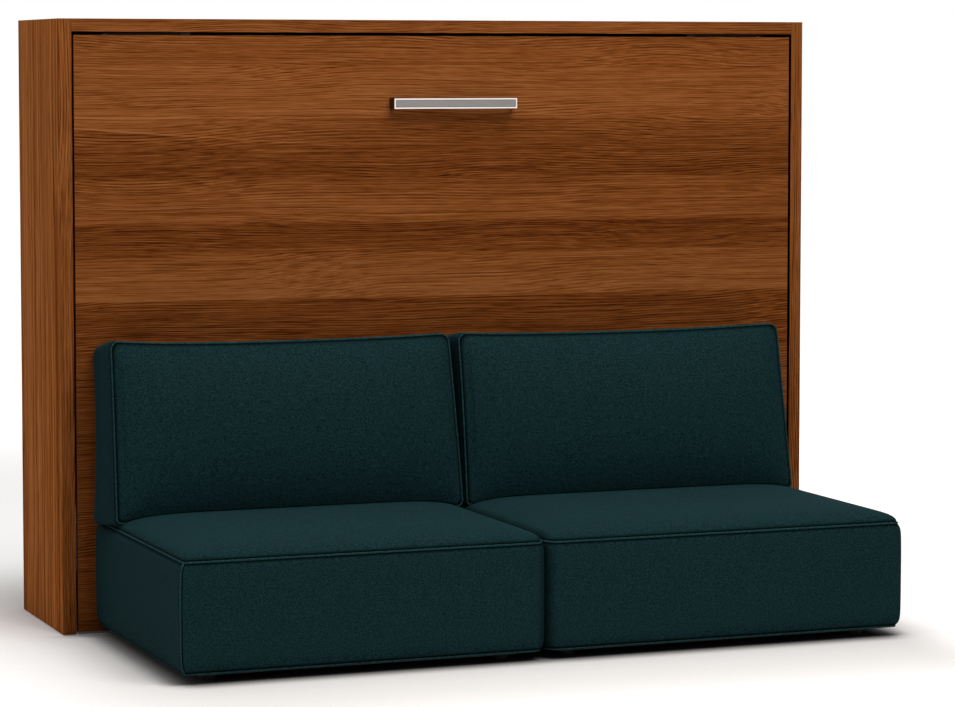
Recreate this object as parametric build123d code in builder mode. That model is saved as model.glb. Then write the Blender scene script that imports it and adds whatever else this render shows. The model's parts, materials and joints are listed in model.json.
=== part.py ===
from build123d import *
import os
from math import atan2, cos, degrees, hypot, radians, sin

# A horizontal wall bed: one wide front panel is the underside of the bed and tilts down over
# a sofa of two seat modules, which are drawn clear of it first.
# Millimetres. X runs along the front, Y towards the wall, Z up. The origin is on the floor,
# in the middle of the footprint.

os.makedirs("parts", exist_ok=True)

# Driving dimensions of the bed
mattress_length = 2000
mattress_width = 1400
mattress_thickness = 180
mattress_corner = 30
frame_board = 16
frame_depth = 70
panel_thickness = 18
panel_floor_gap = 6.5
pivot_setback = 45
pivot_height = 250
lower_rail_height = 139

# Driving dimensions of the cabinet
side_thickness = 35
top_thickness = 34
cabinet_depth = 447
wall_rail_thickness = 18
wall_rail_height = 120
back_sheet = 3
cabinet_glide_height = 2
cabinet_glide_radius = 12
cabinet_glide_inset = 40

# Driving dimensions of what turns in the gaps: the gas springs beside the frame, the legs over it
cylinder_radius = 11
leg_thickness = 5
leg_cap_wall = 1

# Driving dimensions of the sofa
left_seat_width = 951
right_seat_width = 1003
seat_depth = 802
seat_split = -34
seat_underside = 24
seat_seam_height = 300
seat_crown = 40
seat_seam_inset = 6
seat_corner = 26
back_height = 456
back_boxing = 163
back_crown = 24
back_rear_crown = 5
back_lean = 6
back_foot_width = 956
back_head_width = 932
back_head_shift = -16
back_joint_gap = 8
back_split = -25
back_lift = 1
back_corner = 22
piping_radius = 2.4

# Clearances
side_gap = 5.5
cylinder_side_gap = 1.25
leg_lift = 1.4
leg_top_gap = 1.6
mattress_gap = 3
soft_gap = 0.3
crown_gap = 0.6
running_gap = 0.05
axial_gap = 0.3
pocket_gap = 1

# Places that follow from the sizes above
frame_half = mattress_length / 2 + mattress_gap
board_half = frame_half + frame_board
gap_middle = board_half + cylinder_radius + cylinder_side_gap
inner_half = gap_middle + cylinder_radius + cylinder_side_gap
outer_half = inner_half + side_thickness
panel_half = inner_half - side_gap
lower_rail_top = lower_rail_height + frame_board
upper_rail_low = lower_rail_top + mattress_width + 2 * mattress_gap
panel_top = upper_rail_low + frame_board
leg_low = panel_top + leg_lift
leg_high = leg_low + leg_thickness
top_underside = leg_high + leg_cap_wall + leg_top_gap
cabinet_height = top_underside + top_thickness
overall_depth = cabinet_depth + soft_gap + seat_depth
wall_y = overall_depth / 2
face_y = wall_y - cabinet_depth
panel_back = face_y + panel_thickness
frame_back = panel_back + frame_depth
pivot_y = face_y + pivot_setback


def side_span(sign, near, far):
    """The (low, high) pair along X between two distances from the middle, on one side."""
    return tuple(sorted((sign * near, sign * far)))


def slab(x, y, z, mode=Mode.ADD):
    """Adds or cuts a square block that spans three (low, high) pairs."""
    with BuildSketch(Plane.XY.offset(z[0])) as area:
        with Locations(((x[0] + x[1]) / 2, (y[0] + y[1]) / 2)):
            Rectangle(x[1] - x[0], y[1] - y[0])
    extrude(area.sketch, amount=z[1] - z[0], mode=mode)


def bars(plane, places, radius, length, mode=Mode.ADD):
    """Adds or cuts round bars that start at places on a plane."""
    with BuildSketch(plane) as area:
        with Locations(*places):
            Circle(radius)
    extrude(area.sketch, amount=length, mode=mode)


def bars_up(height, places, radius, length, mode=Mode.ADD):
    """Round bars that stand on a height, at (x, y) places."""
    bars(Plane.XY.offset(height), places, radius, length, mode)


def side_plane(sign, start):
    """The upright plane at a distance on one side, facing outwards, and with Y as its own X."""
    return Plane(origin=(sign * start, 0, 0), x_dir=(0, 1, 0), z_dir=(sign, 0, 0))


def side_places(sign, places):
    """Places (y, z) on one side, in that plane's own coordinates."""
    return [(y, sign * z) for y, z in places]


def bars_out(sign, start, places, radius, length, mode=Mode.ADD):
    """Round bars that run outwards along X from a distance on one side, at (y, z) places."""
    bars(side_plane(sign, start), side_places(sign, places), radius, length, mode)


def bars_forward(start, places, radius, length, mode=Mode.ADD):
    """Round bars that run forwards from a distance along Y, at (x, z) places."""
    plane = Plane(origin=(0, start, 0), x_dir=(1, 0, 0), z_dir=(0, -1, 0))
    bars(plane, places, radius, length, mode)


def write(name, build):
    """Labels a finished piece and writes it as its own file."""
    build.part.label = name
    export_step(build.part, f"parts/{name}.step")


SIDES = (("left", -1), ("right", 1))

# Countersunk screws through a plate of some thickness into the board behind it
screw_radius = 2
screw_head_radius = 4.3
screw_head = 2.3
screw_head_slope = 45
screw_length = 16


def screw_holes(plane, places, plate):
    """Cuts the countersunk holes of a plate whose open face lies on a plane."""
    bars(plane, places, screw_radius, plate, Mode.SUBTRACT)
    countersinks(plane, places, Mode.SUBTRACT)


def screws(plane, places, plate):
    """Adds the screws of those holes, with the heads flush with the plate's open face."""
    bars(plane, places, screw_radius, plate + screw_length)
    countersinks(plane, places)


def countersinks(plane, places, mode=Mode.ADD):
    """Adds or cuts the cones of the heads, widest on the plane."""
    with BuildSketch(plane) as area:
        with Locations(*places):
            Circle(screw_head_radius)
    extrude(area.sketch, amount=screw_head, taper=screw_head_slope, mode=mode)



# The pivots of the bed
plate_thickness = 4
plate_corner = 8
pivot_plate_inset = 12
pivot_plate_depth = 84
pivot_plate_height = 180
pivot_screw_inset = 16
pin_radius = 8
pin_seat = 12
pin_collar_radius = 13
bush_radius = 11
bush_flange = 3
bush_flange_radius = 15

pivot_plate_y = (face_y + pivot_plate_inset, face_y + pivot_plate_inset + pivot_plate_depth)
pivot_plate_z = (pivot_height - pivot_plate_height / 2, pivot_height + pivot_plate_height / 2)
pivot_place = [(pivot_y, pivot_height)]
pivot_screws = [
    (y, z)
    for y in (pivot_plate_y[0] + pivot_screw_inset, pivot_plate_y[1] - pivot_screw_inset)
    for z in (pivot_plate_z[0] + pivot_screw_inset, pivot_plate_z[1] - pivot_screw_inset)
]

# The gas springs: each hangs from a stud on the cabinet's side and pushes on the bed's frame
anchor_setback = 100
anchor_rise = 600
anchor_plate_depth = 50
anchor_plate_height = 110
anchor_plate_drop = 14
anchor_screw_inset = 14
stud_radius = 4
bed_stud_inset = 16
bed_stud_drop = 120
cylinder_wall = 1.6
cylinder_start = 18
cylinder_plate_gap = 12
cylinder_gland = 14
spring_eye_radius = 9
spring_eye_width = 10
spring_neck_radius = 6
rod_radius = 4
piston_length = 10
socket_neck_radius = 4.8
socket_neck = 24
stub_radius = 8
stub_gap = 0.5

anchor_y = face_y + anchor_setback
anchor_height = pivot_height + anchor_rise
bed_stud_y = frame_back - bed_stud_inset
bed_stud_height = pivot_height - bed_stud_drop
anchor_place = [(anchor_y, anchor_height)]
bed_stud_place = [(bed_stud_y, bed_stud_height)]
anchor_plate_y = (anchor_y - anchor_plate_depth / 2, anchor_y + anchor_plate_depth / 2)
anchor_plate_low = anchor_height - anchor_plate_drop
anchor_plate_z = (anchor_plate_low, anchor_plate_low + anchor_plate_height)
anchor_screws = [
    (anchor_y, anchor_plate_z[1] - anchor_screw_inset),
    (anchor_y, (anchor_plate_z[0] + anchor_plate_z[1]) / 2),
]
spring_run = hypot(anchor_y - bed_stud_y, anchor_height - bed_stud_height)
cylinder_length = anchor_height - pivot_plate_z[1] - cylinder_plate_gap - cylinder_start


def spring_plane(sign, along=0):
    """A plane across the gas spring, a distance down it from its upper eye."""
    towards = (0, bed_stud_y - anchor_y, bed_stud_height - anchor_height)
    eye = (sign * gap_middle, anchor_y, anchor_height)
    return Plane(origin=eye, x_dir=(1, 0, 0), z_dir=towards).offset(along)


# The catch: a magnet block on each side takes a steel strike on the bed's end board
catch_width = 34
catch_depth = 20
catch_height = 60
catch_drop = 167
strike_thickness = 1.2
strike_width = 14
catch_middle = panel_top - catch_drop
catch_front = frame_back + strike_thickness + soft_gap
catch_span = (catch_middle - catch_height / 2, catch_middle + catch_height / 2)

# The angle brackets inside the cabinet's upper corners
bracket_arm = 30
bracket_thickness = 3
bracket_width = 40
bracket_inset = 46
bracket_pitch = 80
bracket_screw_arm = 18
bracket_back = wall_y - wall_rail_thickness - back_sheet - bracket_inset
bracket_ys = [bracket_back - bracket_pitch, bracket_back]
bracket_side_screws = [(y, top_underside - bracket_screw_arm) for y in bracket_ys]
bracket_screw_x = inner_half - bracket_screw_arm
bracket_top_screws = [(sign * bracket_screw_x, y) for side, sign in SIDES for y in bracket_ys]
bracket_underside = Plane.XY.offset(top_underside - bracket_thickness)

# The wall screws through the upper rail
wall_screw_radius = 4
wall_screw_pitch = 1600
wall_screw_height = top_underside - wall_rail_height / 2
wall_screws = [(-wall_screw_pitch / 2, wall_screw_height), (wall_screw_pitch / 2, wall_screw_height)]
rail_front = wall_y - wall_rail_thickness

# Cabinet: sides, top, back and feet
side_z = (cabinet_glide_height, cabinet_height)

for side, sign in SIDES:
    with BuildPart() as side_panel:
        slab(side_span(sign, inner_half, outer_half), (face_y, wall_y), side_z)
        bars_out(sign, inner_half, pivot_place, pin_radius, pin_seat, Mode.SUBTRACT)
        pilot_holes = pivot_screws + anchor_screws + bracket_side_screws
        bars_out(sign, inner_half, pilot_holes, screw_radius, screw_length, Mode.SUBTRACT)
    write(f"side_panel_{side}", side_panel)

with BuildPart() as top_panel:
    slab((-inner_half, inner_half), (face_y, wall_y), (top_underside, cabinet_height))
    bars_up(top_underside, bracket_top_screws, screw_radius, screw_length, Mode.SUBTRACT)
write("top_panel", top_panel)

with BuildPart() as upper_wall_rail:
    slab((-inner_half, inner_half), (rail_front, wall_y), (top_underside - wall_rail_height, top_underside))
    bars_forward(wall_y, wall_screws, wall_screw_radius, wall_rail_thickness, Mode.SUBTRACT)
write("upper_wall_rail", upper_wall_rail)

with BuildPart() as lower_wall_rail:
    lower_span = (cabinet_glide_height, cabinet_glide_height + wall_rail_height)
    slab((-inner_half, inner_half), (rail_front, wall_y), lower_span)
write("lower_wall_rail", lower_wall_rail)

with BuildPart() as back_panel:
    sheet_y = (rail_front - back_sheet, rail_front)
    slab((-inner_half, inner_half), sheet_y, (cabinet_glide_height, top_underside))
    bars_forward(rail_front, wall_screws, wall_screw_radius, back_sheet, Mode.SUBTRACT)
write("back_panel", back_panel)

with BuildPart() as cabinet_glides:
    glide_x = outer_half - side_thickness / 2
    glide_ys = (face_y + cabinet_glide_inset, wall_y - cabinet_glide_inset)
    glide_places = [(sign * glide_x, y) for side, sign in SIDES for y in glide_ys]
    bars_up(0, glide_places, cabinet_glide_radius, cabinet_glide_height)
write("cabinet_glides", cabinet_glides)

with BuildPart() as corner_brackets:
    for side, sign in SIDES:
        for y in bracket_ys:
            depth = (y - bracket_width / 2, y + bracket_width / 2)
            upright = side_span(sign, inner_half - bracket_thickness, inner_half)
            slab(upright, depth, (top_underside - bracket_arm, top_underside))
            arm = side_span(sign, inner_half - bracket_arm, inner_half)
            slab(arm, depth, (top_underside - bracket_thickness, top_underside))
        arm_face = side_plane(sign, inner_half - bracket_thickness)
        screw_holes(arm_face, side_places(sign, bracket_side_screws), bracket_thickness)
    screw_holes(bracket_underside, bracket_top_screws, bracket_thickness)
write("corner_brackets", corner_brackets)

with BuildPart() as bracket_screws:
    for side, sign in SIDES:
        arm_face = side_plane(sign, inner_half - bracket_thickness)
        screws(arm_face, side_places(sign, bracket_side_screws), bracket_thickness)
    screws(bracket_underside, bracket_top_screws, bracket_thickness)
write("bracket_screws", bracket_screws)

# Cabinet: the pivots, with the anchors of the gas springs above them
plate_face = inner_half - plate_thickness
collar_start = board_half + plate_thickness + bush_flange + axial_gap
stud_tip = gap_middle - spring_eye_width / 2 - axial_gap

for side, sign in SIDES:
    with BuildPart() as pivot_plate:
        slab(side_span(sign, plate_face, inner_half), pivot_plate_y, pivot_plate_z)
        fillet(pivot_plate.edges().filter_by(Axis.X), plate_corner)
        bars_out(sign, plate_face, pivot_place, pin_radius, plate_thickness, Mode.SUBTRACT)
        screw_holes(side_plane(sign, plate_face), side_places(sign, pivot_screws), plate_thickness)
    write(f"pivot_plate_{side}", pivot_plate)

    with BuildPart() as pivot_pin:
        pin_start = frame_half + axial_gap
        bars_out(sign, pin_start, pivot_place, pin_radius, inner_half + pin_seat - pin_start)
        bars_out(sign, collar_start, pivot_place, pin_collar_radius, plate_face - collar_start)
    write(f"pivot_pin_{side}", pivot_pin)

    with BuildPart() as gas_anchor:
        slab(side_span(sign, plate_face, inner_half), anchor_plate_y, anchor_plate_z)
        fillet(gas_anchor.edges().filter_by(Axis.X), plate_corner)
        screw_holes(side_plane(sign, plate_face), side_places(sign, anchor_screws), plate_thickness)
        bars_out(sign, stud_tip, anchor_place, stud_radius, plate_face - stud_tip)
    write(f"gas_anchor_{side}", gas_anchor)

with BuildPart() as plate_screws:
    for side, sign in SIDES:
        places = side_places(sign, pivot_screws + anchor_screws)
        screws(side_plane(sign, plate_face), places, plate_thickness)
write("plate_screws", plate_screws)

with BuildPart() as catch_magnets:
    for side, sign in SIDES:
        magnet_x = side_span(sign, inner_half - catch_width, inner_half)
        slab(magnet_x, (catch_front, catch_front + catch_depth), catch_span)
write("catch_magnets", catch_magnets)

# Bed: the front panel and its handle
handle_length = 359
handle_height = 31
handle_reach = 36
handle_bar = 9
handle_post = 10
handle_offset = 15
handle_drop = 182
handle_screw_radius = 2.2
handle_screw_head_radius = 4.2
handle_screw_bite = 12
handle_screw_head = 2.5
handle_middle = panel_top - handle_drop
handle_x = (handle_offset - handle_length / 2, handle_offset + handle_length / 2)
handle_z = (handle_middle - handle_height / 2, handle_middle + handle_height / 2)
handle_ends = [handle_x[0] + handle_post / 2, handle_x[1] - handle_post / 2]
handle_screw_places = [(end, handle_middle) for end in handle_ends]
grip_back = face_y - handle_reach + handle_bar

with BuildPart() as front_panel:
    slab((-panel_half, panel_half), (face_y, panel_back), (panel_floor_gap, panel_top))
    bars_forward(panel_back, handle_screw_places, handle_screw_radius, panel_thickness, Mode.SUBTRACT)
write("front_panel", front_panel)

with BuildPart() as handle_grip:
    slab(handle_x, (face_y - handle_reach, grip_back), handle_z)
write("handle_grip", handle_grip)

with BuildPart() as handle_posts:
    for end in handle_ends:
        slab((end - handle_post / 2, end + handle_post / 2), (grip_back, face_y), handle_z)
    bars_forward(face_y, handle_screw_places, handle_screw_radius, handle_screw_bite, Mode.SUBTRACT)
write("handle_posts", handle_posts)

with BuildPart() as handle_screws:
    head_back = panel_back + handle_screw_head
    bars_forward(head_back, handle_screw_places, handle_screw_head_radius, handle_screw_head)
    shank = panel_thickness + handle_screw_bite
    bars_forward(panel_back, handle_screw_places, handle_screw_radius, shank)
write("handle_screws", handle_screws)

# Bed: the frame behind the panel
bed_plate_inset = 4
bed_plate_drop = 150
bed_plate_rise = 60
end_board_low = 60
bolt_radius = 3
bolt_head_radius = 6
bolt_head = 2.4
bolt_inset = 12
leg_inset = 53
leg_bolt_radius = 5
leg_bolt_gap = 2
leg_setback = panel_thickness + leg_bolt_gap + leg_bolt_radius
leg_x = frame_half - leg_inset
leg_bolts = [(sign * leg_x, face_y + leg_setback) for side, sign in SIDES]

bed_plate_y = (panel_back + bed_plate_inset, frame_back)
bed_plate_low = pivot_height - bed_plate_drop
bed_plate_high = pivot_height + bed_plate_rise
bed_bolts = [
    (y, z)
    for y in (bed_plate_y[0] + bolt_inset, bed_plate_y[1] - bolt_inset)
    for z in (bed_plate_low + bolt_inset, bed_plate_high - bolt_inset)
]
stud_start = board_half - frame_board / 2

for side, sign in SIDES:
    with BuildPart() as end_board:
        slab(side_span(sign, frame_half, board_half), (panel_back, frame_back), (end_board_low, panel_top))
        bars_out(sign, frame_half, pivot_place, bush_radius, frame_board, Mode.SUBTRACT)
        bars_out(sign, frame_half, bed_bolts, bolt_radius, frame_board, Mode.SUBTRACT)
        bars_out(sign, stud_start, bed_stud_place, stud_radius, frame_board / 2, Mode.SUBTRACT)
    write(f"end_board_{side}", end_board)

with BuildPart() as lower_rail:
    slab((-frame_half, frame_half), (panel_back, frame_back), (lower_rail_height, lower_rail_top))
write("lower_rail", lower_rail)

with BuildPart() as upper_rail:
    slab((-frame_half, frame_half), (panel_back, frame_back), (upper_rail_low, panel_top))
    bars_up(upper_rail_low, leg_bolts, leg_bolt_radius, frame_board, Mode.SUBTRACT)
write("upper_rail", upper_rail)

# Bed: what carries the mattress
batten_depth = 30
batten_height = 40
batten_shares = (1 / 3, 2 / 3)
ledge_height = 20
ledge_depth = 18
ledge_setback = 37
slat_count = 16
slat_width = 53
slat_thickness = 8
slat_end_gap = 120
cap_wall = 2
cap_length = 30
cap_end_gap = 0.5

inner_height = upper_rail_low - lower_rail_top
ledge_y = (face_y + ledge_setback, face_y + ledge_setback + ledge_depth)
cap_y = (ledge_y[1], ledge_y[1] + slat_thickness + 2 * cap_wall)
slat_y = (cap_y[0] + cap_wall, cap_y[1] - cap_wall)
slat_pitch = (2 * frame_half - 2 * slat_end_gap) / (slat_count - 1)
slat_xs = [-frame_half + slat_end_gap + slat_pitch * number for number in range(slat_count)]
cap_low = lower_rail_top + cap_end_gap
cap_high = upper_rail_low - cap_end_gap

with BuildPart() as panel_battens:
    for share in batten_shares:
        batten_low = lower_rail_top + share * inner_height - batten_height / 2
        batten_y = (panel_back, panel_back + batten_depth)
        slab((-frame_half, frame_half), batten_y, (batten_low, batten_low + batten_height))
write("panel_battens", panel_battens)

with BuildPart() as slat_ledges:
    slab((-frame_half, frame_half), ledge_y, (lower_rail_top, lower_rail_top + ledge_height))
    slab((-frame_half, frame_half), ledge_y, (upper_rail_low - ledge_height, upper_rail_low))
write("slat_ledges", slat_ledges)

with BuildPart() as slats:
    for x in slat_xs:
        slat_x = (x - slat_width / 2, x + slat_width / 2)
        slab(slat_x, slat_y, (cap_low + cap_wall, cap_high - cap_wall))
write("slats", slats)

with BuildPart() as slat_caps:
    for x in slat_xs:
        slat_x = (x - slat_width / 2, x + slat_width / 2)
        cap_x = (slat_x[0] - cap_wall, slat_x[1] + cap_wall)
        slab(cap_x, cap_y, (cap_low, cap_low + cap_length))
        slab(slat_x, slat_y, (cap_low + cap_wall, cap_low + cap_length), Mode.SUBTRACT)
        slab(cap_x, cap_y, (cap_high - cap_length, cap_high))
        slab(slat_x, slat_y, (cap_high - cap_length, cap_high - cap_wall), Mode.SUBTRACT)
write("slat_caps", slat_caps)

mattress_y = (cap_y[1] + soft_gap, cap_y[1] + soft_gap + mattress_thickness)
mattress_z = (lower_rail_top + mattress_gap, upper_rail_low - mattress_gap)

with BuildPart() as mattress:
    slab((-mattress_length / 2, mattress_length / 2), mattress_y, mattress_z)
    fillet(mattress.edges().filter_by(Axis.Y), mattress_corner)
    fillet(mattress.faces().sort_by(Axis.Y)[-1].edges(), mattress_corner / 2)
write("mattress", mattress)

strap_width = 30
strap_thickness = 1.5
strap_anchor = 16
strap_share = 0.18
strap_back = mattress_y[1] + soft_gap

with BuildPart() as mattress_straps:
    for side, sign in SIDES:
        middle = sign * strap_share * mattress_length
        strap_x = (middle - strap_width / 2, middle + strap_width / 2)
        strap_y = (frame_back - strap_anchor, strap_back)
        slab(strap_x, strap_y, (lower_rail_top, lower_rail_top + strap_thickness))
        slab(strap_x, strap_y, (upper_rail_low - strap_thickness, upper_rail_low))
        slab(strap_x, (strap_back, strap_back + strap_thickness), (lower_rail_top, upper_rail_low))
write("mattress_straps", mattress_straps)

# Bed: the pivots and the lower studs of the gas springs
bed_plate_face = board_half + plate_thickness
stub_length = gap_middle - spring_eye_width / 2 - stub_gap - bed_plate_face

for side, sign in SIDES:
    with BuildPart() as bed_plate:
        slab(side_span(sign, board_half, bed_plate_face), bed_plate_y, (bed_plate_low, bed_plate_high))
        fillet(bed_plate.edges().filter_by(Axis.X), plate_corner)
        bars_out(sign, board_half, pivot_place, bush_radius, plate_thickness, Mode.SUBTRACT)
        bars_out(sign, board_half, bed_stud_place, stud_radius, plate_thickness, Mode.SUBTRACT)
        bars_out(sign, board_half, bed_bolts, bolt_radius, plate_thickness, Mode.SUBTRACT)
    write(f"bed_plate_{side}", bed_plate)

    with BuildPart() as pivot_bush:
        bars_out(sign, frame_half, pivot_place, bush_radius, frame_board + plate_thickness)
        bars_out(sign, bed_plate_face, pivot_place, bush_flange_radius, bush_flange)
        length = frame_board + plate_thickness + bush_flange
        bars_out(sign, frame_half, pivot_place, pin_radius + running_gap, length, Mode.SUBTRACT)
    write(f"pivot_bush_{side}", pivot_bush)

    with BuildPart() as gas_stud:
        bars_out(sign, stud_start, bed_stud_place, stud_radius, bed_plate_face - stud_start)
        bars_out(sign, bed_plate_face, bed_stud_place, stub_radius, stub_length)
    write(f"gas_stud_{side}", gas_stud)

with BuildPart() as bed_plate_bolts:
    for side, sign in SIDES:
        bars_out(sign, frame_half, bed_bolts, bolt_radius, frame_board + plate_thickness)
        bars_out(sign, bed_plate_face, bed_bolts, bolt_head_radius, bolt_head)
write("bed_plate_bolts", bed_plate_bolts)

with BuildPart() as catch_strikes:
    for side, sign in SIDES:
        strike_x = side_span(sign, board_half - strike_width, board_half)
        slab(strike_x, (frame_back, frame_back + strike_thickness), catch_span)
write("catch_strikes", catch_strikes)

# The two legs: flat steel bars in the gap over the panel, which swing out to stand on the floor
leg_width = 36
leg_cap_height = 26
leg_floor_gap = 0.5
leg_bolt_head_radius = 9
leg_bolt_head = 2
leg_nut = 4
leg_nut_radius = 6.5
leg_reach = pivot_height - pivot_setback + leg_setback - leg_floor_gap
leg_y = (face_y + leg_setback - leg_width / 2, face_y + leg_setback + leg_width / 2)
leg_cap_y = (leg_y[0] - leg_cap_wall, leg_y[1] + leg_cap_wall)
foot_end = leg_x - leg_reach
foot_x = foot_end + leg_cap_wall

for side, sign in SIDES:
    with BuildPart() as leg:
        slab(side_span(sign, foot_x, leg_x), leg_y, (leg_low, leg_high))
        bars_up(leg_low, [(sign * leg_x, face_y + leg_setback)], leg_width / 2, leg_thickness)
        with Locations((sign * leg_x, face_y + leg_setback, leg_high)):
            CounterBoreHole(
                leg_bolt_radius + running_gap,
                leg_bolt_head_radius + axial_gap,
                leg_bolt_head + axial_gap,
                leg_thickness,
            )
    write(f"leg_{side}", leg)

    with BuildPart() as leg_foot:
        cap_x = side_span(sign, foot_end, foot_end + leg_cap_height)
        slab(cap_x, leg_cap_y, (leg_low - leg_cap_wall, leg_high + leg_cap_wall))
        slab(side_span(sign, foot_x, leg_x), leg_y, (leg_low, leg_high), Mode.SUBTRACT)
    write(f"leg_foot_{side}", leg_foot)

with BuildPart() as leg_pivots:
    head_low = leg_high - leg_bolt_head
    bars_up(upper_rail_low, leg_bolts, leg_bolt_radius, head_low - upper_rail_low)
    bars_up(head_low, leg_bolts, leg_bolt_head_radius, leg_bolt_head)
    bars_up(upper_rail_low - leg_nut, leg_bolts, leg_nut_radius, leg_nut)
write("leg_pivots", leg_pivots)

# The gas springs
eye_start = gap_middle - spring_eye_width / 2
bore_radius = cylinder_radius - cylinder_wall
bore_start = cylinder_start + cylinder_gland
bore_end = cylinder_start + cylinder_length - cylinder_gland
piston_start = bore_end - piston_length - axial_gap

for side, sign in SIDES:
    with BuildPart() as gas_cylinder:
        bars_out(sign, eye_start, anchor_place, spring_eye_radius, spring_eye_width)
        bars(spring_plane(sign), [(0, 0)], spring_neck_radius, cylinder_start)
        bars(spring_plane(sign, cylinder_start), [(0, 0)], cylinder_radius, cylinder_length)
        bars(spring_plane(sign, bore_start), [(0, 0)], bore_radius, bore_end - bore_start, Mode.SUBTRACT)
        gland_hole = rod_radius + running_gap
        bars(spring_plane(sign, bore_end), [(0, 0)], gland_hole, cylinder_gland, Mode.SUBTRACT)
        stud_hole = stud_radius + running_gap
        neck_start = gap_middle - spring_neck_radius
        bars_out(sign, neck_start, anchor_place, stud_hole, 2 * spring_neck_radius, Mode.SUBTRACT)
    write(f"gas_cylinder_{side}", gas_cylinder)

    with BuildPart() as gas_rod:
        bars(spring_plane(sign, piston_start), [(0, 0)], bore_radius - running_gap, piston_length)
        bars(spring_plane(sign, piston_start), [(0, 0)], rod_radius, spring_run - piston_start)
        bars(spring_plane(sign, spring_run - socket_neck), [(0, 0)], socket_neck_radius, socket_neck)
        bars_out(sign, eye_start, bed_stud_place, spring_eye_radius, spring_eye_width)
    write(f"gas_rod_{side}", gas_rod)

# The sofa
seat_back = face_y - soft_gap
seat_middle_y = seat_back - seat_depth / 2
seat_wall_shares = ((0, 1.4), (0.2, 0.25), (0.5, 0), (0.8, 0.2), (1, 1))
seat_crown_reach_share = 0.2244
seat_corner_growth_share = 0.75
crown_shares = (0, 0.01, 0.03, 0.07, 0.14, 0.27, 0.45, 0.7, 1)
seat_crown_fullness_share = 0.35
frame_inset = 60
frame_wall = 18
frame_height = 150
base_board = 12
seat_glide_radius = 22
seat_glide_inset = 90
base_low = seat_underside - base_board
seat_rise = seat_seam_height - seat_underside
lower_seam = (seat_underside + piping_radius, seat_wall_shares[0][1] * seat_seam_inset)
upper_seam = (seat_seam_height, seat_seam_inset)


def crown_rise(reach, fullness):
    """How far a crown has risen, as a share, at a share of its reach in from the seam."""
    return (1 - (1 - reach) ** 2) ** fullness


def seat_layer(middle, width, height, inset, corner):
    """One level of a seat: a rounded rectangle, drawn in from the seat's full outline."""
    with BuildSketch(Plane(origin=(middle, seat_middle_y, height))) as layer:
        RectangleRounded(width - 2 * inset, seat_depth - 2 * inset, corner)
    return layer.sketch


def seat_form(middle, width, lift=0, mode=Mode.ADD):
    """The upholstered block: full between its seams, drawn in at them, crowned on top."""
    walls = []
    for share, draw in seat_wall_shares:
        height = seat_underside + share * seat_rise + lift
        walls.append(seat_layer(middle, width, height, draw * seat_seam_inset, seat_corner))
    loft(walls, mode=mode)
    crown = []
    for reach in crown_shares:
        inward = reach * seat_crown_reach_share * seat_depth
        rise = crown_rise(reach, seat_crown_fullness_share) * seat_crown
        height = seat_seam_height + rise + lift
        corner = seat_corner + inward * seat_corner_growth_share
        crown.append(seat_layer(middle, width, height, seat_seam_inset + inward, corner))
    loft(crown, ruled=True, mode=mode)


def piping_loop(plane, outline, corner, radius, mode=Mode.ADD):
    """Adds or cuts a round cord that follows a closed outline with rounded corners."""
    with BuildLine(plane) as path:
        FilletPolyline(*outline, radius=corner, close=True)
    with BuildSketch(Plane(origin=path.line @ 0, z_dir=path.line % 0)) as section:
        Circle(radius)
    sweep(section.sketch, path=path.line, mode=mode)


def seat_seam(middle, width, seam, radius, mode=Mode.ADD):
    """The cord along one of the seat's two seams, each given by its height and inset."""
    height, inset = seam
    half_x = width / 2 - inset
    half_y = seat_depth / 2 - inset
    outline = [(-half_x, -half_y), (half_x, -half_y), (half_x, half_y), (-half_x, half_y)]
    piping_loop(Plane(origin=(middle, seat_middle_y, height)), outline, seat_corner, radius, mode)


SEATS = (
    ("left", seat_split - (soft_gap + left_seat_width) / 2, left_seat_width),
    ("right", seat_split + (soft_gap + right_seat_width) / 2, right_seat_width),
)

for side, middle, width in SEATS:
    half_x = width / 2 - frame_inset
    half_y = seat_depth / 2 - frame_inset
    frame_x = (middle - half_x, middle + half_x)
    frame_y = (seat_middle_y - half_y, seat_middle_y + half_y)
    frame_top = base_low + frame_height

    with BuildPart() as seat:
        seat_form(middle, width)
        pocket_x = (frame_x[0] - pocket_gap, frame_x[1] + pocket_gap)
        pocket_y = (frame_y[0] - pocket_gap, frame_y[1] + pocket_gap)
        slab(pocket_x, pocket_y, (base_low, frame_top + soft_gap), Mode.SUBTRACT)
        for seam in (lower_seam, upper_seam):
            seat_seam(middle, width, seam, piping_radius + soft_gap, Mode.SUBTRACT)
    write(f"seat_{side}", seat)

    with BuildPart() as seat_piping:
        for seam in (lower_seam, upper_seam):
            seat_seam(middle, width, seam, piping_radius)
    write(f"seat_piping_{side}", seat_piping)

    with BuildPart() as seat_frame:
        slab(frame_x, frame_y, (base_low, frame_top))
        hollow_x = (frame_x[0] + frame_wall, frame_x[1] - frame_wall)
        hollow_y = (frame_y[0] + frame_wall, frame_y[1] - frame_wall)
        slab(hollow_x, hollow_y, (base_low + base_board, frame_top), Mode.SUBTRACT)
    write(f"seat_frame_{side}", seat_frame)

    with BuildPart() as seat_glides:
        glide_x = width / 2 - seat_glide_inset
        glide_y = seat_depth / 2 - seat_glide_inset
        corners = [(middle + a * glide_x, seat_middle_y + b * glide_y) for a in (-1, 1) for b in (-1, 1)]
        bars_up(0, corners, seat_glide_radius, base_low)
    write(f"seat_glides_{side}", seat_glides)

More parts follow.
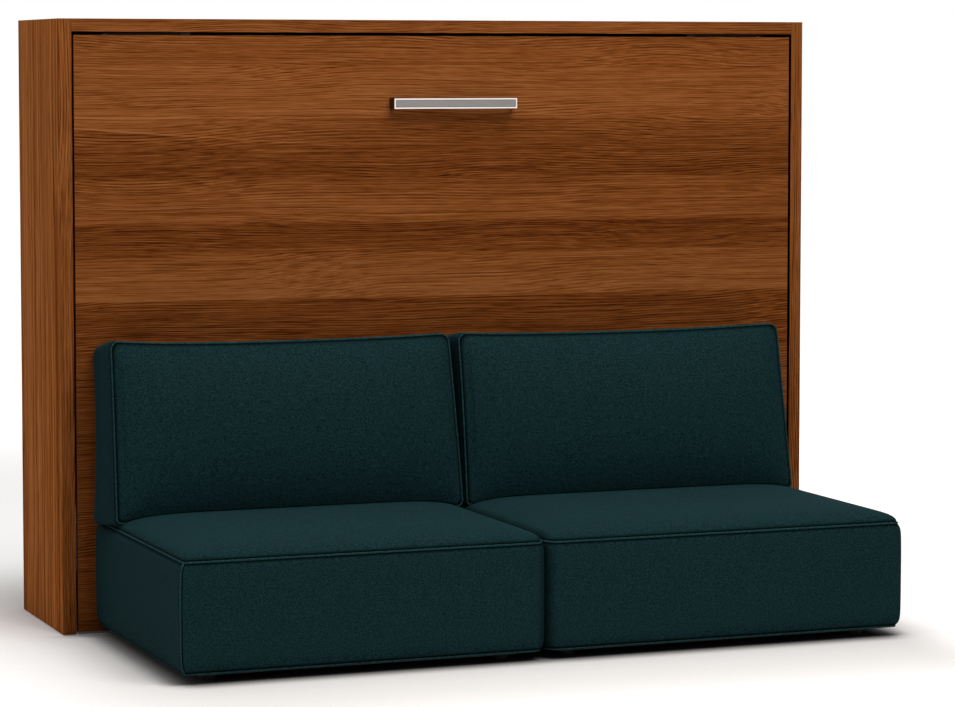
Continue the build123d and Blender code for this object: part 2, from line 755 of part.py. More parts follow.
# The loose back cushions, leaning on the panel and sunk into the seats' crowns
back_wall_shares = ((0, 1.2), (0.25, 0.2), (0.5, 0), (0.8, 0.1), (1, 0.6))
back_seam_inset = 5
back_crown_reach_share = 0.329
back_corner_growth_share = 0.3
back_crown_fullness_share = 0.6
back_seam_draw = back_wall_shares[-1][1] * back_seam_inset
back_rear_draw = back_wall_shares[0][1] * back_seam_inset
back_mount = back_height * sin(radians(back_lean)) + back_rear_crown + soft_gap


def back_plane(middle, along):
    """A plane across a back cushion's thickness, a distance in front of its rear seam."""
    lean = radians(back_lean)
    foot = (middle, face_y - back_mount, seat_seam_height + back_lift)
    return Plane(origin=foot, x_dir=(1, 0, 0), z_dir=(0, -cos(lean), sin(lean))).offset(along)


def back_outline(inset):
    """The corners of a cushion's outline at one depth, narrower at the head than at the foot."""
    foot = back_foot_width / 2 - inset
    head = back_head_width / 2 - inset
    top = back_height - inset
    return [
        (-foot, inset),
        (foot, inset),
        (head + back_head_shift, top),
        (-head + back_head_shift, top),
    ]


def back_layer(middle, along, inset, corner):
    """One level through a cushion's thickness."""
    with BuildSketch(back_plane(middle, along)) as layer:
        with BuildLine():
            Polyline(*back_outline(inset), close=True)
        make_face()
        fillet(layer.vertices(), corner)
    return layer.sketch


def back_crown_layers(middle, seam, draw, rise):
    """The levels of a crown that rises from one of the cushion's two seams."""
    layers = []
    for reach in crown_shares:
        inward = reach * back_crown_reach_share * back_height
        corner = back_corner + inward * back_corner_growth_share
        along = seam + crown_rise(reach, back_crown_fullness_share) * rise
        layers.append(back_layer(middle, along, draw + inward, corner))
    return layers


def back_form(middle):
    """The cushion: a boxed side between two seams, a deep crown in front, a shallow one behind."""
    walls = []
    for share, draw in back_wall_shares:
        walls.append(back_layer(middle, share * back_boxing, draw * back_seam_inset, back_corner))
    loft(walls)
    loft(back_crown_layers(middle, back_boxing, back_seam_draw, back_crown), ruled=True)
    loft(back_crown_layers(middle, 0, back_rear_draw, -back_rear_crown)[::-1], ruled=True)


for side, sign in SIDES:
    middle = back_split + sign * (back_foot_width + back_joint_gap) / 2
    seam_plane = back_plane(middle, back_boxing)
    seam_outline = back_outline(back_seam_draw)

    with BuildPart() as back_cushion:
        back_form(middle)
        for seat_side, seat_middle, width in SEATS:
            seat_form(seat_middle, width, crown_gap, Mode.SUBTRACT)
        piping_loop(seam_plane, seam_outline, back_corner, piping_radius + soft_gap, Mode.SUBTRACT)
    write(f"back_cushion_{side}", back_cushion)

    with BuildPart() as back_piping:
        piping_loop(seam_plane, seam_outline, back_corner, piping_radius)
        for seat_side, seat_middle, width in SEATS:
            seat_form(seat_middle, width, crown_gap, Mode.SUBTRACT)
    write(f"back_piping_{side}", back_piping)

# The gas spring's turn and travel over the bed's full tilt of a quarter turn
turned_y = pivot_y + pivot_height - bed_stud_height
turned_z = pivot_height + bed_stud_y - pivot_y
first_lean = atan2(bed_stud_y - anchor_y, anchor_height - bed_stud_height)
last_lean = atan2(turned_y - anchor_y, anchor_height - turned_z)
travel = spring_run - hypot(turned_y - anchor_y, anchor_height - turned_z)
print("cabinet", 2 * outer_half, cabinet_depth, cabinet_height)
print("front face y", face_y, "wall y", wall_y, "pivot", pivot_y, pivot_height)
print("leg bolts", leg_bolts, leg_low)
print("gas spring swing", degrees(last_lean - first_lean), "travel", travel, "lean", degrees(first_lean))
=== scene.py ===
import json
from functools import partial
from math import cos, exp, hypot, pi, radians, sin, sqrt

import bmesh
import bpy
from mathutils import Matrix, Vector


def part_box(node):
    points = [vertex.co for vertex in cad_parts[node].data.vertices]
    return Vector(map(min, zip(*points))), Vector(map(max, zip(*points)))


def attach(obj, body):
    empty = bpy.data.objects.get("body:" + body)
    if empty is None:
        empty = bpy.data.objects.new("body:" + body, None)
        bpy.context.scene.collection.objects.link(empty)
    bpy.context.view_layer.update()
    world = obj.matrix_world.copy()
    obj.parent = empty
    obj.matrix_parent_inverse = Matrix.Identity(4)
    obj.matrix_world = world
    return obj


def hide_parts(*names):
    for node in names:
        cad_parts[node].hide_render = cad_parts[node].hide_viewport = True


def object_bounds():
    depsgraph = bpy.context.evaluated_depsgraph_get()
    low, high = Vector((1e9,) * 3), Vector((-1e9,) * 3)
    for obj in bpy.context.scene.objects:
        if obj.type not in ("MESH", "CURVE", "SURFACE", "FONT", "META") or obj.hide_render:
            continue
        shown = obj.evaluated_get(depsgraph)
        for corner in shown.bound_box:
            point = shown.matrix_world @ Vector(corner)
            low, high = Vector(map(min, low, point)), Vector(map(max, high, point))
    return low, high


# The wall bed with its sofa, dressed for a picture. Metres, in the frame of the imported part:
# X runs along the front, Y towards the wall, Z up.
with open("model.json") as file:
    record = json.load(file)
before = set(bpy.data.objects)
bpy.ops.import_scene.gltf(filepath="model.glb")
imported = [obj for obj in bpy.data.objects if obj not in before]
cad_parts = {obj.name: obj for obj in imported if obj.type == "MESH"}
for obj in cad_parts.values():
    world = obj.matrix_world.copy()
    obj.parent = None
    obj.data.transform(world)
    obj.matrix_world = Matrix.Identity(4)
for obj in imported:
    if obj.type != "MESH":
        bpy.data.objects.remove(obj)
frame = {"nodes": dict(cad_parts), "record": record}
cad_low, cad_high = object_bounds()
front_low, front_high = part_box("front_panel")
MM = 0.001
SIDES = ("left", "right")

# The camera of the photograph
camera_place = (-3.1606, -8.2012, 1.4980)
camera_yaw = radians(21.207)
camera_pitch = radians(4.02)
camera_lens = 123.824
camera_sensor = 36
camera_shift = -0.06
camera_range = 60

# Seats: the form of the upholstered blocks
seat_cord = 2.6 * MM
seat_crown = 41 * MM
seat_crown_reach = 180 * MM
seat_fullness = 0.35
seat_seam_inset = 6 * MM
seat_under_inset = 9 * MM
seat_under_crown = 2.4 * MM
seat_under_reach = 20 * MM
seat_seam_drop = 40 * MM
seat_bulge = 1 * MM
# Corner radii: front left, front right, rear right, rear left
seat_corners = {
    "left": (11 * MM, 24 * MM, 26 * MM, 12 * MM),
    "right": (38 * MM, 9 * MM, 16 * MM, 26 * MM),
}
# How much rounder the corners get towards the middle of the crown
seat_corner_growth = 0.75
# How far the sofa's two end faces swell out, how far from a seam, and how far along the seat
seat_end_swell = 6 * MM
seat_end_turn = {"left": 14 * MM, "right": 9 * MM}
seat_swell_reach = 60 * MM
right_seam_out = 2.5 * MM
# Painted shade where the seats meet: how dark it is, and how far it reaches
joint_painted_shade = 0.8
joint_reach = 26 * MM
# Into how many steps a pad's straight sides are cut, along X and along Y
seat_steps = (22, 18)
# A seam's cord, and one that runs up a wall, stand out this far
cord_out = 1 * MM
upright_out = 0.4 * MM

# Back cushions: the form of the loose cushions that lean on the panel
back_cord = 2.4 * MM
back_lean = radians(6)
back_height = 456 * MM
back_boxing = 163 * MM
back_crown = 24 * MM
back_crown_reach = 150 * MM
back_fullness = 0.6
back_rear_crown = 5 * MM
back_dome = 18 * MM
back_dome_edge = 26 * MM
back_dome_power = 0.4
back_seam_inset = 3 * MM
back_rear_inset = 6 * MM
back_bulge = 3 * MM
# Corner radii: foot left, foot right, head right, head left
back_corners = (12 * MM, 18 * MM, 22 * MM, 22 * MM)
back_corner_growth = 0.3
back_foot_width = 956 * MM
back_head_width = 932 * MM
back_head_shift = -16 * MM
back_lift = 1 * MM
back_seat_gap = 0.6 * MM
panel_gap = 0.3 * MM
back_steps = (20, 12)
back_middles = {"left": -507 * MM, "right": 457 * MM}
# How the top seam runs: raised at its two ends, sagging between them
back_tops = {
    "left": {"all": 7.5 * MM, "low_end": 12 * MM, "sag": 4 * MM, "high_end": 4 * MM},
    "right": {"all": 7 * MM, "low_end": 4 * MM, "sag": 6 * MM, "high_end": 4 * MM},
}
top_end_reach = 110 * MM
top_power = 4
rear_lift_share = 0.3
# How far the left end swells out at the front seam, at its foot and head, and at the rear seam
# and its foot, and how far the right end and its foot do
back_swells = {
    "left": {"front": 1.5 * MM, "front_foot": 4 * MM, "head": 0, "rear": 7.5 * MM,
             "rear_foot": 20 * MM, "right_end": 0, "right_foot": -4 * MM},
    "right": {"front": 1.5 * MM, "front_foot": 1 * MM, "head": 5.5 * MM, "rear": 1 * MM,
              "rear_foot": 0, "right_end": 14 * MM, "right_foot": 0},
}
back_swell_reach = 120 * MM
# The powers by which the swells of foot and head fade over the height
swell_powers = {"front_foot": 2, "head": 4, "rear_foot": 2.5, "right_foot": 3}

# Mattress and its straps
mattress_crown = 12 * MM
mattress_crown_reach = 70 * MM
mattress_under_crown = 2 * MM
mattress_seam_inset = 3 * MM
mattress_corner = 40 * MM
mattress_corner_growth = 0.4
mattress_tape = 3 * MM
tape_in = 1 * MM
mattress_steps = (40, 28)
quilt_pitch = 100 * MM
quilt_depth = 4 * MM
quilt_sharpness = 4
strap_half = 15 * MM
strap_thick = 1.5 * MM
strap_bend = 12 * MM
strap_bend_steps = 4
strap_run_steps = 12
strap_column_shares = (-1, -0.7, 0.7, 1)
strap_edge_share = 0.55


def srgb(red, green, blue):
    """A colour given as 0 to 255 sRGB values, as Blender's linear colour."""
    linear = []
    for value in (red, green, blue):
        share = value / 255
        linear.append(share / 12.92 if share <= 0.04045 else ((share + 0.055) / 1.055) ** 2.4)
    return (*linear, 1)


def tinted(colour, share):
    """A colour made darker or lighter."""
    return [share * c for c in colour[:3]] + [1]


# Shader nodes


def shader(name):
    """A new material's tree and its surface shader."""
    material = bpy.data.materials.new(name)
    material.use_nodes = True
    return material, material.node_tree, material.node_tree.nodes["Principled BSDF"]


def feed(tree, made, inputs):
    """Sets a node's inputs. A value is a number, a vector, or another node's output to link."""
    for key, value in inputs.items():
        if isinstance(value, bpy.types.NodeSocket):
            tree.links.new(value, made.inputs[key])
        else:
            made.inputs[key].default_value = value


def node(tree, kind, inputs=None, **settings):
    """Adds a node with its settings and inputs."""
    made = tree.nodes.new("ShaderNode" + kind)
    for key, value in settings.items():
        setattr(made, key, value)
    feed(tree, made, inputs or {})
    return made


def maths(tree, operation, first, second=0.0):
    """The output of a Math node."""
    return node(tree, "Math", {0: first, 1: second}, operation=operation).outputs[0]


def add_part(tree, level, part, weight):
    """A level, with a weighted part added to it."""
    return maths(tree, "ADD", level, maths(tree, "MULTIPLY", part, weight))


def vector_maths(tree, operation, first, second):
    """The output of a Vector Math node."""
    return node(tree, "VectorMath", {0: first, 1: second}, operation=operation).outputs[0]


def fade(tree, value, start, end, first, last, kind="LINEAR"):
    """Goes from first to last while a value goes from start to end."""
    limits = {0: value, 1: start, 2: end, 3: first, 4: last}
    return node(tree, "MapRange", limits, interpolation_type=kind).outputs[0]


def ramp(tree, factor, stops, interpolation="LINEAR"):
    """A colour ramp through (place, colour) stops, where a colour may be one grey value."""
    made = node(tree, "ValToRGB", {"Fac": factor})
    made.color_ramp.interpolation = interpolation
    elements = made.color_ramp.elements
    while len(elements) < len(stops):
        elements.new(1)
    for element, (place, colour) in zip(elements, stops):
        element.position = place
        element.color = colour if hasattr(colour, "__len__") else (colour, colour, colour, 1)
    return made.outputs["Color"]


def blend(tree, kind, factor, first, second):
    """The output of a colour Mix node."""
    made = node(tree, "Mix", data_type="RGBA", blend_type=kind)
    for key, value in (("Factor_Float", factor), ("A_Color", first), ("B_Color", second)):
        socket = next(s for s in made.inputs if s.identifier == key)
        if isinstance(value, bpy.types.NodeSocket):
            tree.links.new(value, socket)
        else:
            socket.default_value = value
    return next(s for s in made.outputs if s.identifier == "Result_Color")


def noise_value(tree, place, scale, detail=2.0, roughness=0.5, seed=None):
    """A noise between 0 and 1 at a place, or a separate one for each seed."""
    inputs = {"Vector": place, "Scale": scale, "Detail": detail, "Roughness": roughness}
    if seed is None:
        return node(tree, "TexNoise", inputs).outputs["Fac"]
    inputs["W"] = seed
    return node(tree, "TexNoise", inputs, noise_dimensions="4D").outputs["Fac"]


def bump(tree, height, strength, distance):
    """The normal of a bump map."""
    inputs = {"Height": height, "Strength": strength, "Distance": distance}
    return node(tree, "Bump", inputs).outputs["Normal"]


def object_place(tree):
    """The object's own coordinates, which are metres in the part's frame."""
    return node(tree, "TexCoord").outputs["Object"]


def xyz(tree, place):
    """The three coordinates of a place."""
    return node(tree, "SeparateXYZ", {0: place}).outputs


def stretched(tree, place, along, pace_along, pace_across):
    """A place whose coordinates run at one pace along the grain and at another across it."""
    paces = tuple(pace_along if axis == along else pace_across for axis in "XYZ")
    return vector_maths(tree, "MULTIPLY", place, paces)


# Wood laminate

wood_stops = [(0.0, srgb(62, 26, 8)), (0.3, srgb(101, 52, 20)), (0.55, srgb(124, 70, 31)),
              (1.0, srgb(150, 94, 52))]
wood_tone = 0.46
wood_seed = 0.37
wood_roughness = 0.55
wood_relief = 0.25
wood_relief_depth = 0.4 * MM
# The grain wavers sideways by this much. Its noise runs at one pace along the grain, at one across
grain_waver = 0.055
waver_paces = (1.3, 5)
waver_roughness = 0.4
# Growth lines: their pitch and depth, and how much their place and depth vary
growth_pitch = 6.6 * MM
growth_bend = 4.5
growth_depth = 0.12
growth_depth_change = 0.4
# Figures in the grain: length along it, width across it, noise detail and roughness
wood_figures = {
    "growth_bend": (0.7, 0.035, 1.0, 0.5),
    "growth_depth": (0.8, 0.04, 1.0, 0.5),
    "broad": (1.4, 0.05, 1.0, 0.5),
    "streaks": (1.2, 0.013, 2.0, 0.6),
    "fine": (0.5, 0.0026, 1.0, 0.6),
    "pores": (0.05, 0.0019, 1.0, 0.5),
    "wide_stripes": (5.0, 0.045, 0.0, 0.5),
    "thin_stripes": (3.0, 0.009, 0.0, 0.5),
}
# How much they change the tone. In the strips, which have tones of their own, "broad" counts less
figure_weights = {"broad": 0.45, "streaks": 0.16, "fine": 1.2, "pores": 0.8}
broad_weight_in_strips = 0.1
streak_gloss = -0.25
fine_relief = 0.6
# The outer faces of the sides get painted light, which makes them lighter than their edges, and their grain
# is striped
outer_skin = 2 * MM
outer_painted_lift = 0.1
outer_painted_gain = 0.72
wide_stripe_weight = 0.25
thin_stripe_weight = 1.5
# Painted shade: the faces in the gap beside the front panel are painted black
gap_painted_shade = srgb(8, 4, 2)
gap_line = 1.6 * MM
gap_depth = 12 * MM
inner_skin = 0.5 * MM
side_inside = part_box("side_panel_right")[0].x + inner_skin
# The front's laminate has broad strips: height of a strip's top, tone there, tone at its foot
wood_height = 1.62
strip_slope = 0.005
strip_edge = 1.2 * MM
strip_seed_pace = 5.3
strip_seed_range = 9.0
wood_strips = (
    (1.58, 0.44, 0.52),
    (1.49, 0.59, 0.57),
    (1.356, 0.41, 0.27),
    (1.192, 0.42, 0.55),
    (1.075, 0.22, 0.37),
    (0.99, 0.50, 0.66),
    (0.872, 0.33, 0.30),
    (0.70, 0.40, 0.46),
    (0.53, 0.34, 0.40),
    (0.38, 0.46, 0.36),
    (0.20, 0.42, 0.34),
)
# In one strip a lighter wedge narrows to a thin pale line
wedge_top = wood_strips[2][0]
wedge_height = 1.261
wedge_slope = 0.069
wedge_lift = 0.2
wedge_line = 2.0 * MM
wedge_line_lift = 0.5
wedge_ends = (-1.0, -0.1)


def strip_looks(tree, height):
    """The tone of the front's strips over their height, and a seed of its own for each."""
    share = maths(tree, "DIVIDE", height, wood_height)
    stops, seeds = [(0, wood_strips[-1][2])], []
    feet = [strip[0] for strip in wood_strips[1:]] + [0]
    for (top, top_tone, foot_tone), foot in reversed(list(zip(wood_strips, feet))):
        stops += [((foot + strip_edge) / wood_height, foot_tone), (top / wood_height, top_tone)]
        seeds.append((foot / wood_height, (foot * strip_seed_pace) % 1))
    seed = maths(tree, "MULTIPLY", ramp(tree, share, seeds, "CONSTANT"), strip_seed_range)
    return ramp(tree, share, stops), seed


def wedge(tree, axes, height):
    """How much lighter the wedge and its pale lines are, fading towards the middle of the front."""
    line = maths(tree, "SUBTRACT", wedge_height, maths(tree, "MULTIPLY", axes["X"], wedge_slope))
    above = maths(tree, "SUBTRACT", axes["Z"], line)
    under = maths(tree, "LESS_THAN", height, wedge_top)
    inside = maths(tree, "MULTIPLY", maths(tree, "GREATER_THAN", above, 0.0), under)
    edge = maths(tree, "ABSOLUTE", maths(tree, "SUBTRACT", height, wedge_top))
    nearest = maths(tree, "MINIMUM", maths(tree, "ABSOLUTE", above), edge)
    thin = maths(tree, "LESS_THAN", nearest, wedge_line)
    paler = add_part(tree, maths(tree, "MULTIPLY", inside, wedge_lift), thin, wedge_line_lift)
    return maths(tree, "MULTIPLY", paler, fade(tree, axes["X"], *wedge_ends, 1.0, 0.0))


def outer_face(tree, axes):
    """1 on the outer faces of the sides, and 0 on their edges and inner faces."""
    normal = node(tree, "TexCoord").outputs["Normal"]
    facing = maths(tree, "ABSOLUTE", xyz(tree, normal)["X"])
    outside = maths(tree, "ABSOLUTE", axes["X"])
    outside = maths(tree, "GREATER_THAN", outside, cad_high.x - outer_skin)
    return maths(tree, "MULTIPLY", facing, outside)


def wood(name, along, strips=False, lift=0.0):
    """Walnut laminate with its grain along one axis, in broad strips if asked."""
    material, tree, surface = shader(name)
    place = object_place(tree)
    axes = xyz(tree, place)
    seed, tone = wood_seed, wood_tone + lift
    if strips:
        height = add_part(tree, axes["Z"], axes["X"], strip_slope)
        tone, seed = strip_looks(tree, height)
        tone = maths(tree, "ADD", tone, lift)

    # The grain wavers slowly along the board, and the figures follow it
    slow = stretched(tree, place, along, *waver_paces)
    waver = maths(tree, "SUBTRACT", noise_value(tree, slow, 1.0, 1.0, waver_roughness, seed), 0.5)
    waver = maths(tree, "MULTIPLY", waver, grain_waver)
    across = [axis for axis in "XYZ" if axis != along]
    shift = node(tree, "CombineXYZ", {axis: waver for axis in across}).outputs[0]
    bent = vector_maths(tree, "ADD", place, shift)

    def figure(kind):
        length, width, detail, roughness = wood_figures[kind]
        spot = stretched(tree, bent, along, 1 / length, 1 / width)
        return maths(tree, "SUBTRACT", noise_value(tree, spot, 1.0, detail, roughness, seed), 0.5)

    # Growth lines run close together, unevenly spaced and fading in and out
    bent_axes = xyz(tree, bent)
    turns = maths(tree, "ADD", bent_axes[across[0]], bent_axes[across[1]])
    turns = maths(tree, "MULTIPLY", turns, 2 * pi / growth_pitch)
    turns = add_part(tree, turns, figure("growth_bend"), growth_bend)
    depth = add_part(tree, growth_depth, figure("growth_depth"), growth_depth_change)
    tone = add_part(tree, tone, maths(tree, "SINE", turns), depth)
    figures = {kind: figure(kind) for kind in figure_weights}
    for kind, part in figures.items():
        weight = broad_weight_in_strips if strips and kind == "broad" else figure_weights[kind]
        tone = add_part(tree, tone, part, weight)
    if along == "Z":
        # On the outer faces the tone gets a painted lift of light, together with the grain's stripes
        outer = outer_face(tree, axes)
        stripes_and_painted_lift = add_part(tree, outer_painted_lift, figure("wide_stripes"), wide_stripe_weight)
        stripes_and_painted_lift = add_part(tree, stripes_and_painted_lift, figure("thin_stripes"), thin_stripe_weight)
        tone = add_part(tree, tone, outer, stripes_and_painted_lift)
    if strips:
        tone = maths(tree, "ADD", tone, wedge(tree, axes, height))

    colour = ramp(tree, tone, wood_stops)
    if strips:
        # The front's right end is painted dark, as painted shade of the gap beside it
        dark = maths(tree, "GREATER_THAN", axes["X"], front_high.x - gap_line)
        colour = blend(tree, "MIX", dark, colour, gap_painted_shade)
    if along == "Z":
        # So is the first bit of the sides' inner faces, behind the gap, as painted shade
        inner = maths(tree, "LESS_THAN", maths(tree, "ABSOLUTE", axes["X"]), side_inside)
        shallow = maths(tree, "LESS_THAN", axes["Y"], front_low.y + gap_depth)
        colour = blend(tree, "MIX", maths(tree, "MULTIPLY", inner, shallow), colour, gap_painted_shade)
        # The outer faces' colour is also raised by a painted gain of light
        painted_gain = add_part(tree, 1.0, outer, outer_painted_gain)
        painted_gain = node(tree, "CombineXYZ", {axis: painted_gain for axis in "XYZ"}).outputs[0]
        colour = vector_maths(tree, "MULTIPLY", colour, painted_gain)
    relief = add_part(tree, figures["pores"], figures["fine"], fine_relief)
    feed(tree, surface, {
        "Base Color": colour,
        "Roughness": add_part(tree, wood_roughness, figures["streaks"], streak_gloss),
        "Normal": bump(tree, relief, wood_relief, wood_relief_depth),
        "Specular IOR Level": 0.0,
    })
    return material


pale_grain_paces = (3, 110)


def pale_wood(name, along, light, dark):
    """Birch, with a quiet straight grain."""
    material, tree, surface = shader(name)
    spot = stretched(tree, object_place(tree), along, *pale_grain_paces)
    grain = noise_value(tree, spot, 1.0, 4.0, 0.6)
    feed(tree, surface, {
        "Base Color": ramp(tree, grain, [(0.25, dark), (0.7, light)]),
        "Normal": bump(tree, grain, 0.2, 0.2 * MM),
        "Roughness": 0.5,
    })
    return material


# Metal and plastic

brushed_paces = (30, 1500)
even_paces = (600, 600)
roughness_change = 0.16
# The bar handle's front face from its edge inwards: a border of painted shade with a painted reflection of
# the wood, a pale rim of painted highlight, and a line of painted shade
handle_border = 1.6 * MM
handle_rim = 5.2 * MM
handle_line = 6.4 * MM
handle_roughness = 0.45
handle_painted_line_share = 0.35


def metal(name, colour, roughness, grain=None, metallic=1.0):
    """A metal with a faint brushed grain along one axis, or an even one."""
    material, tree, surface = shader(name)
    spot = stretched(tree, object_place(tree), grain, *(brushed_paces if grain else even_paces))
    brushed = noise_value(tree, spot, 1.0, 2.0)
    feed(tree, surface, {
        "Base Color": ramp(tree, brushed, [(0.25, tinted(colour, 0.82)), (0.8, colour)]),
        "Roughness": add_part(tree, roughness - roughness_change / 2, brushed, roughness_change),
        "Normal": bump(tree, brushed, 0.12, 0.05 * MM),
        "Metallic": metallic,
    })
    if metallic == 0:
        surface.inputs["Specular IOR Level"].default_value = 0.1
    return material


def handle_metal(name, colour, rim_painted_highlight, end_painted_shade, low, high):
    """Brushed metal with a pale rim of painted highlight round its front face, a line of painted shade
    inside it, and a border and ends of painted shade with a painted reflection of the wood.
    """
    material = metal(name, colour, handle_roughness, "X")
    tree = material.node_tree
    surface = tree.nodes["Principled BSDF"]
    axes = xyz(tree, object_place(tree))
    depths = []
    for axis, first, last in (("X", low.x, high.x), ("Z", low.z, high.z)):
        offset = maths(tree, "ABSOLUTE", maths(tree, "SUBTRACT", axes[axis], (first + last) / 2))
        depths.append(maths(tree, "SUBTRACT", (last - first) / 2, offset))
    depth = maths(tree, "MINIMUM", *depths)
    shade = surface.inputs["Base Color"].links[0].from_socket
    line_painted_shade = tinted(colour, handle_painted_line_share)
    for end, tint in ((handle_line, line_painted_shade), (handle_rim, rim_painted_highlight), (handle_border, end_painted_shade)):
        shade = blend(tree, "MIX", maths(tree, "LESS_THAN", depth, end), shade, tint)
    feed(tree, surface, {"Base Color": shade})
    return material


def plastic(name, colour, roughness=0.45):
    """A moulded plastic with a fine, even texture."""
    material, tree, surface = shader(name)
    grain = noise_value(tree, object_place(tree), 900.0, 2.0)
    feed(tree, surface, {
        "Base Color": ramp(tree, grain, [(0.2, tinted(colour, 0.85)), (0.8, colour)]),
        "Normal": bump(tree, grain, 0.15, 0.1 * MM),
        "Roughness": roughness,
        "Specular IOR Level": 0.15,
    })
    return material


# Fabrics

weave_pitch = 2.1 * MM
ticking_pitch = 1.4 * MM
webbing_pitch = 1.8 * MM
# A cloth's unevenness: noise scale, detail and roughness, and its weight in the tone
cloth_noises = {
    "slubs": (420.0, 2.0, 0.7, 5),
    "yarns": (280.0, 0.0, 0.5, 12),
    "clouds": (14.0, 3.0, 0.6, 0.8),
}
cloth_dark_share = 0.55
cloth_light_share = 1.45
# The painted shade in a crease is the cloth's colour times this share
seam_painted_shade_share = 0.1
thread_relief = 0.2
sheen_colour = srgb(110, 160, 168)


def weave_height(tree, place, pitch):
    """The relief of a plain weave, whichever way the face looks."""
    turns = 2 * pi / pitch
    axes = xyz(tree, vector_maths(tree, "MULTIPLY", place, (turns, turns, turns)))
    waves = [maths(tree, "SINE", axes[axis]) for axis in "XYZ"]
    return maths(tree, "ADD", maths(tree, "ADD", waves[0], waves[1]), waves[2])


def fabric(name, colour, pitch, contrast=0.16, painted_seam_shade=0.95, sheen=0.07):
    """A woven cover: threads, slubs, a soft sheen, and painted shade from its seam attribute, in the
    creases where it turns in at a seam.
    """
    material, tree, surface = shader(name)
    place = object_place(tree)
    threads = weave_height(tree, place, pitch)
    level = add_part(tree, 0.5, threads, contrast / 6)
    noises = {}
    for kind, (scale, detail, roughness, weight) in cloth_noises.items():
        noises[kind] = noise_value(tree, place, scale, detail, roughness)
        uneven = maths(tree, "SUBTRACT", noises[kind], 0.5)
        level = add_part(tree, level, uneven, contrast * weight)
    stops = [(0.0, tinted(colour, cloth_dark_share)), (1.0, tinted(colour, cloth_light_share))]
    # The seam attribute carries painted shade: in the creases beside the cords, and where the seats meet
    seam = node(tree, "Attribute", attribute_name="seam").outputs["Fac"]
    shade = maths(tree, "MULTIPLY", seam, painted_seam_shade)
    relief = add_part(tree, noises["slubs"], threads, thread_relief)
    dark = tinted(colour, seam_painted_shade_share)
    feed(tree, surface, {
        "Base Color": blend(tree, "MIX", shade, ramp(tree, level, stops), dark),
        "Normal": bump(tree, relief, 0.5, 0.35 * MM),
        "Roughness": 0.9,
        "Specular IOR Level": 0.02,
        "Sheen Weight": sheen,
        "Sheen Roughness": 0.3,
        "Sheen Tint": sheen_colour,
    })
    return material


# Camera, light and floor

# Lamps: place, target, size and watts
lamps = {
    "key": ((0.5, -2.9, 4.6), (0, 0, 0.7), 3.2, 190),
    "ceiling": ((-0.4, -0.5, 4.8), (-0.4, -0.5, 0), 5.0, 100),
    "fill": ((-3.6, -0.7, 4.3), (-1.2, 0.0, 0.4), 3.0, 48),
}
ambient = 0.14
floor_half = 30
# The floor glows away from the object, in two steps: from where to where
white_reaches = ((0.1, 1.0), (2.2, 6.0))
white_step = 0.5
# Beside the object the shadow fades sooner: where that begins, and how many times as fast it goes
white_sides = ((cad_low.x + 0.3, -1.0), (cad_high.x - 0.2, 2.8))
# In front of the panel the floor gets painted shade, darker where something stands close over it
contact_front = front_low.y
contact_reach = 0.07
contact_samples = 8
contact_painted_shade_stops = ((0.3, 0.2), (0.6, 0.32), (0.85, 0.84), (0.95, 1.0))
floor_dark = srgb(223, 219, 216)
floor_light = srgb(227, 223, 220)


def place_camera():
    """The photograph's camera."""
    data = bpy.data.cameras.new("camera")
    camera = bpy.data.objects.new("camera", data)
    bpy.context.scene.collection.objects.link(camera)
    data.lens = camera_lens
    data.sensor_width = camera_sensor
    data.shift_y = camera_shift
    data.clip_end = camera_range
    camera.location = camera_place
    camera.rotation_euler = (pi / 2 - camera_pitch, 0, -camera_yaw)
    bpy.context.scene.camera = camera


def make_world():
    """A white backdrop that lights the object only a little."""
    world = bpy.data.worlds.new("studio")
    bpy.context.scene.world = world
    world.use_nodes = True
    tree = world.node_tree
    tree.nodes.clear()
    rays = node(tree, "LightPath").outputs
    seen = maths(tree, "MAXIMUM", rays["Is Camera Ray"], rays["Is Glossy Ray"])
    seen = maths(tree, "MAXIMUM", seen, rays["Is Transmission Ray"])
    strength = add_part(tree, ambient, seen, 1 - ambient)
    backdrop = node(tree, "Background", {"Color": (1, 1, 1, 1), "Strength": strength})
    node(tree, "OutputWorld", {"Surface": backdrop.outputs[0]})


def softbox(name, place, target, size, watts):
    """A square area lamp at a place, turned to a target."""
    data = bpy.data.lights.new(name, "AREA")
    data.shape = "SQUARE"
    data.size = size
    data.energy = watts
    lamp = bpy.data.objects.new(name, data)
    lamp.location = place
    lamp.rotation_euler = (Vector(target) - Vector(place)).to_track_quat("-Z", "Y").to_euler()
    bpy.context.scene.collection.objects.link(lamp)


def shadow_distance(tree, axes):
    """The distance from the object's footprint, which is a rectangle."""
    past = []
    for end, pace in white_sides:
        offset = maths(tree, "MULTIPLY", maths(tree, "SUBTRACT", axes["X"], end), pace)
        past.append(maths(tree, "MAXIMUM", offset, 0.0))
    middle, half = (cad_low.y + cad_high.y) / 2, (cad_high.y - cad_low.y) / 2
    offset = maths(tree, "ABSOLUTE", maths(tree, "SUBTRACT", axes["Y"], middle))
    past.append(maths(tree, "MAXIMUM", maths(tree, "SUBTRACT", offset, half), 0.0))
    beyond = [maths(tree, "POWER", amount, 2.0) for amount in past]
    total = maths(tree, "ADD", maths(tree, "ADD", beyond[0], beyond[1]), beyond[2])
    return maths(tree, "SQRT", total)


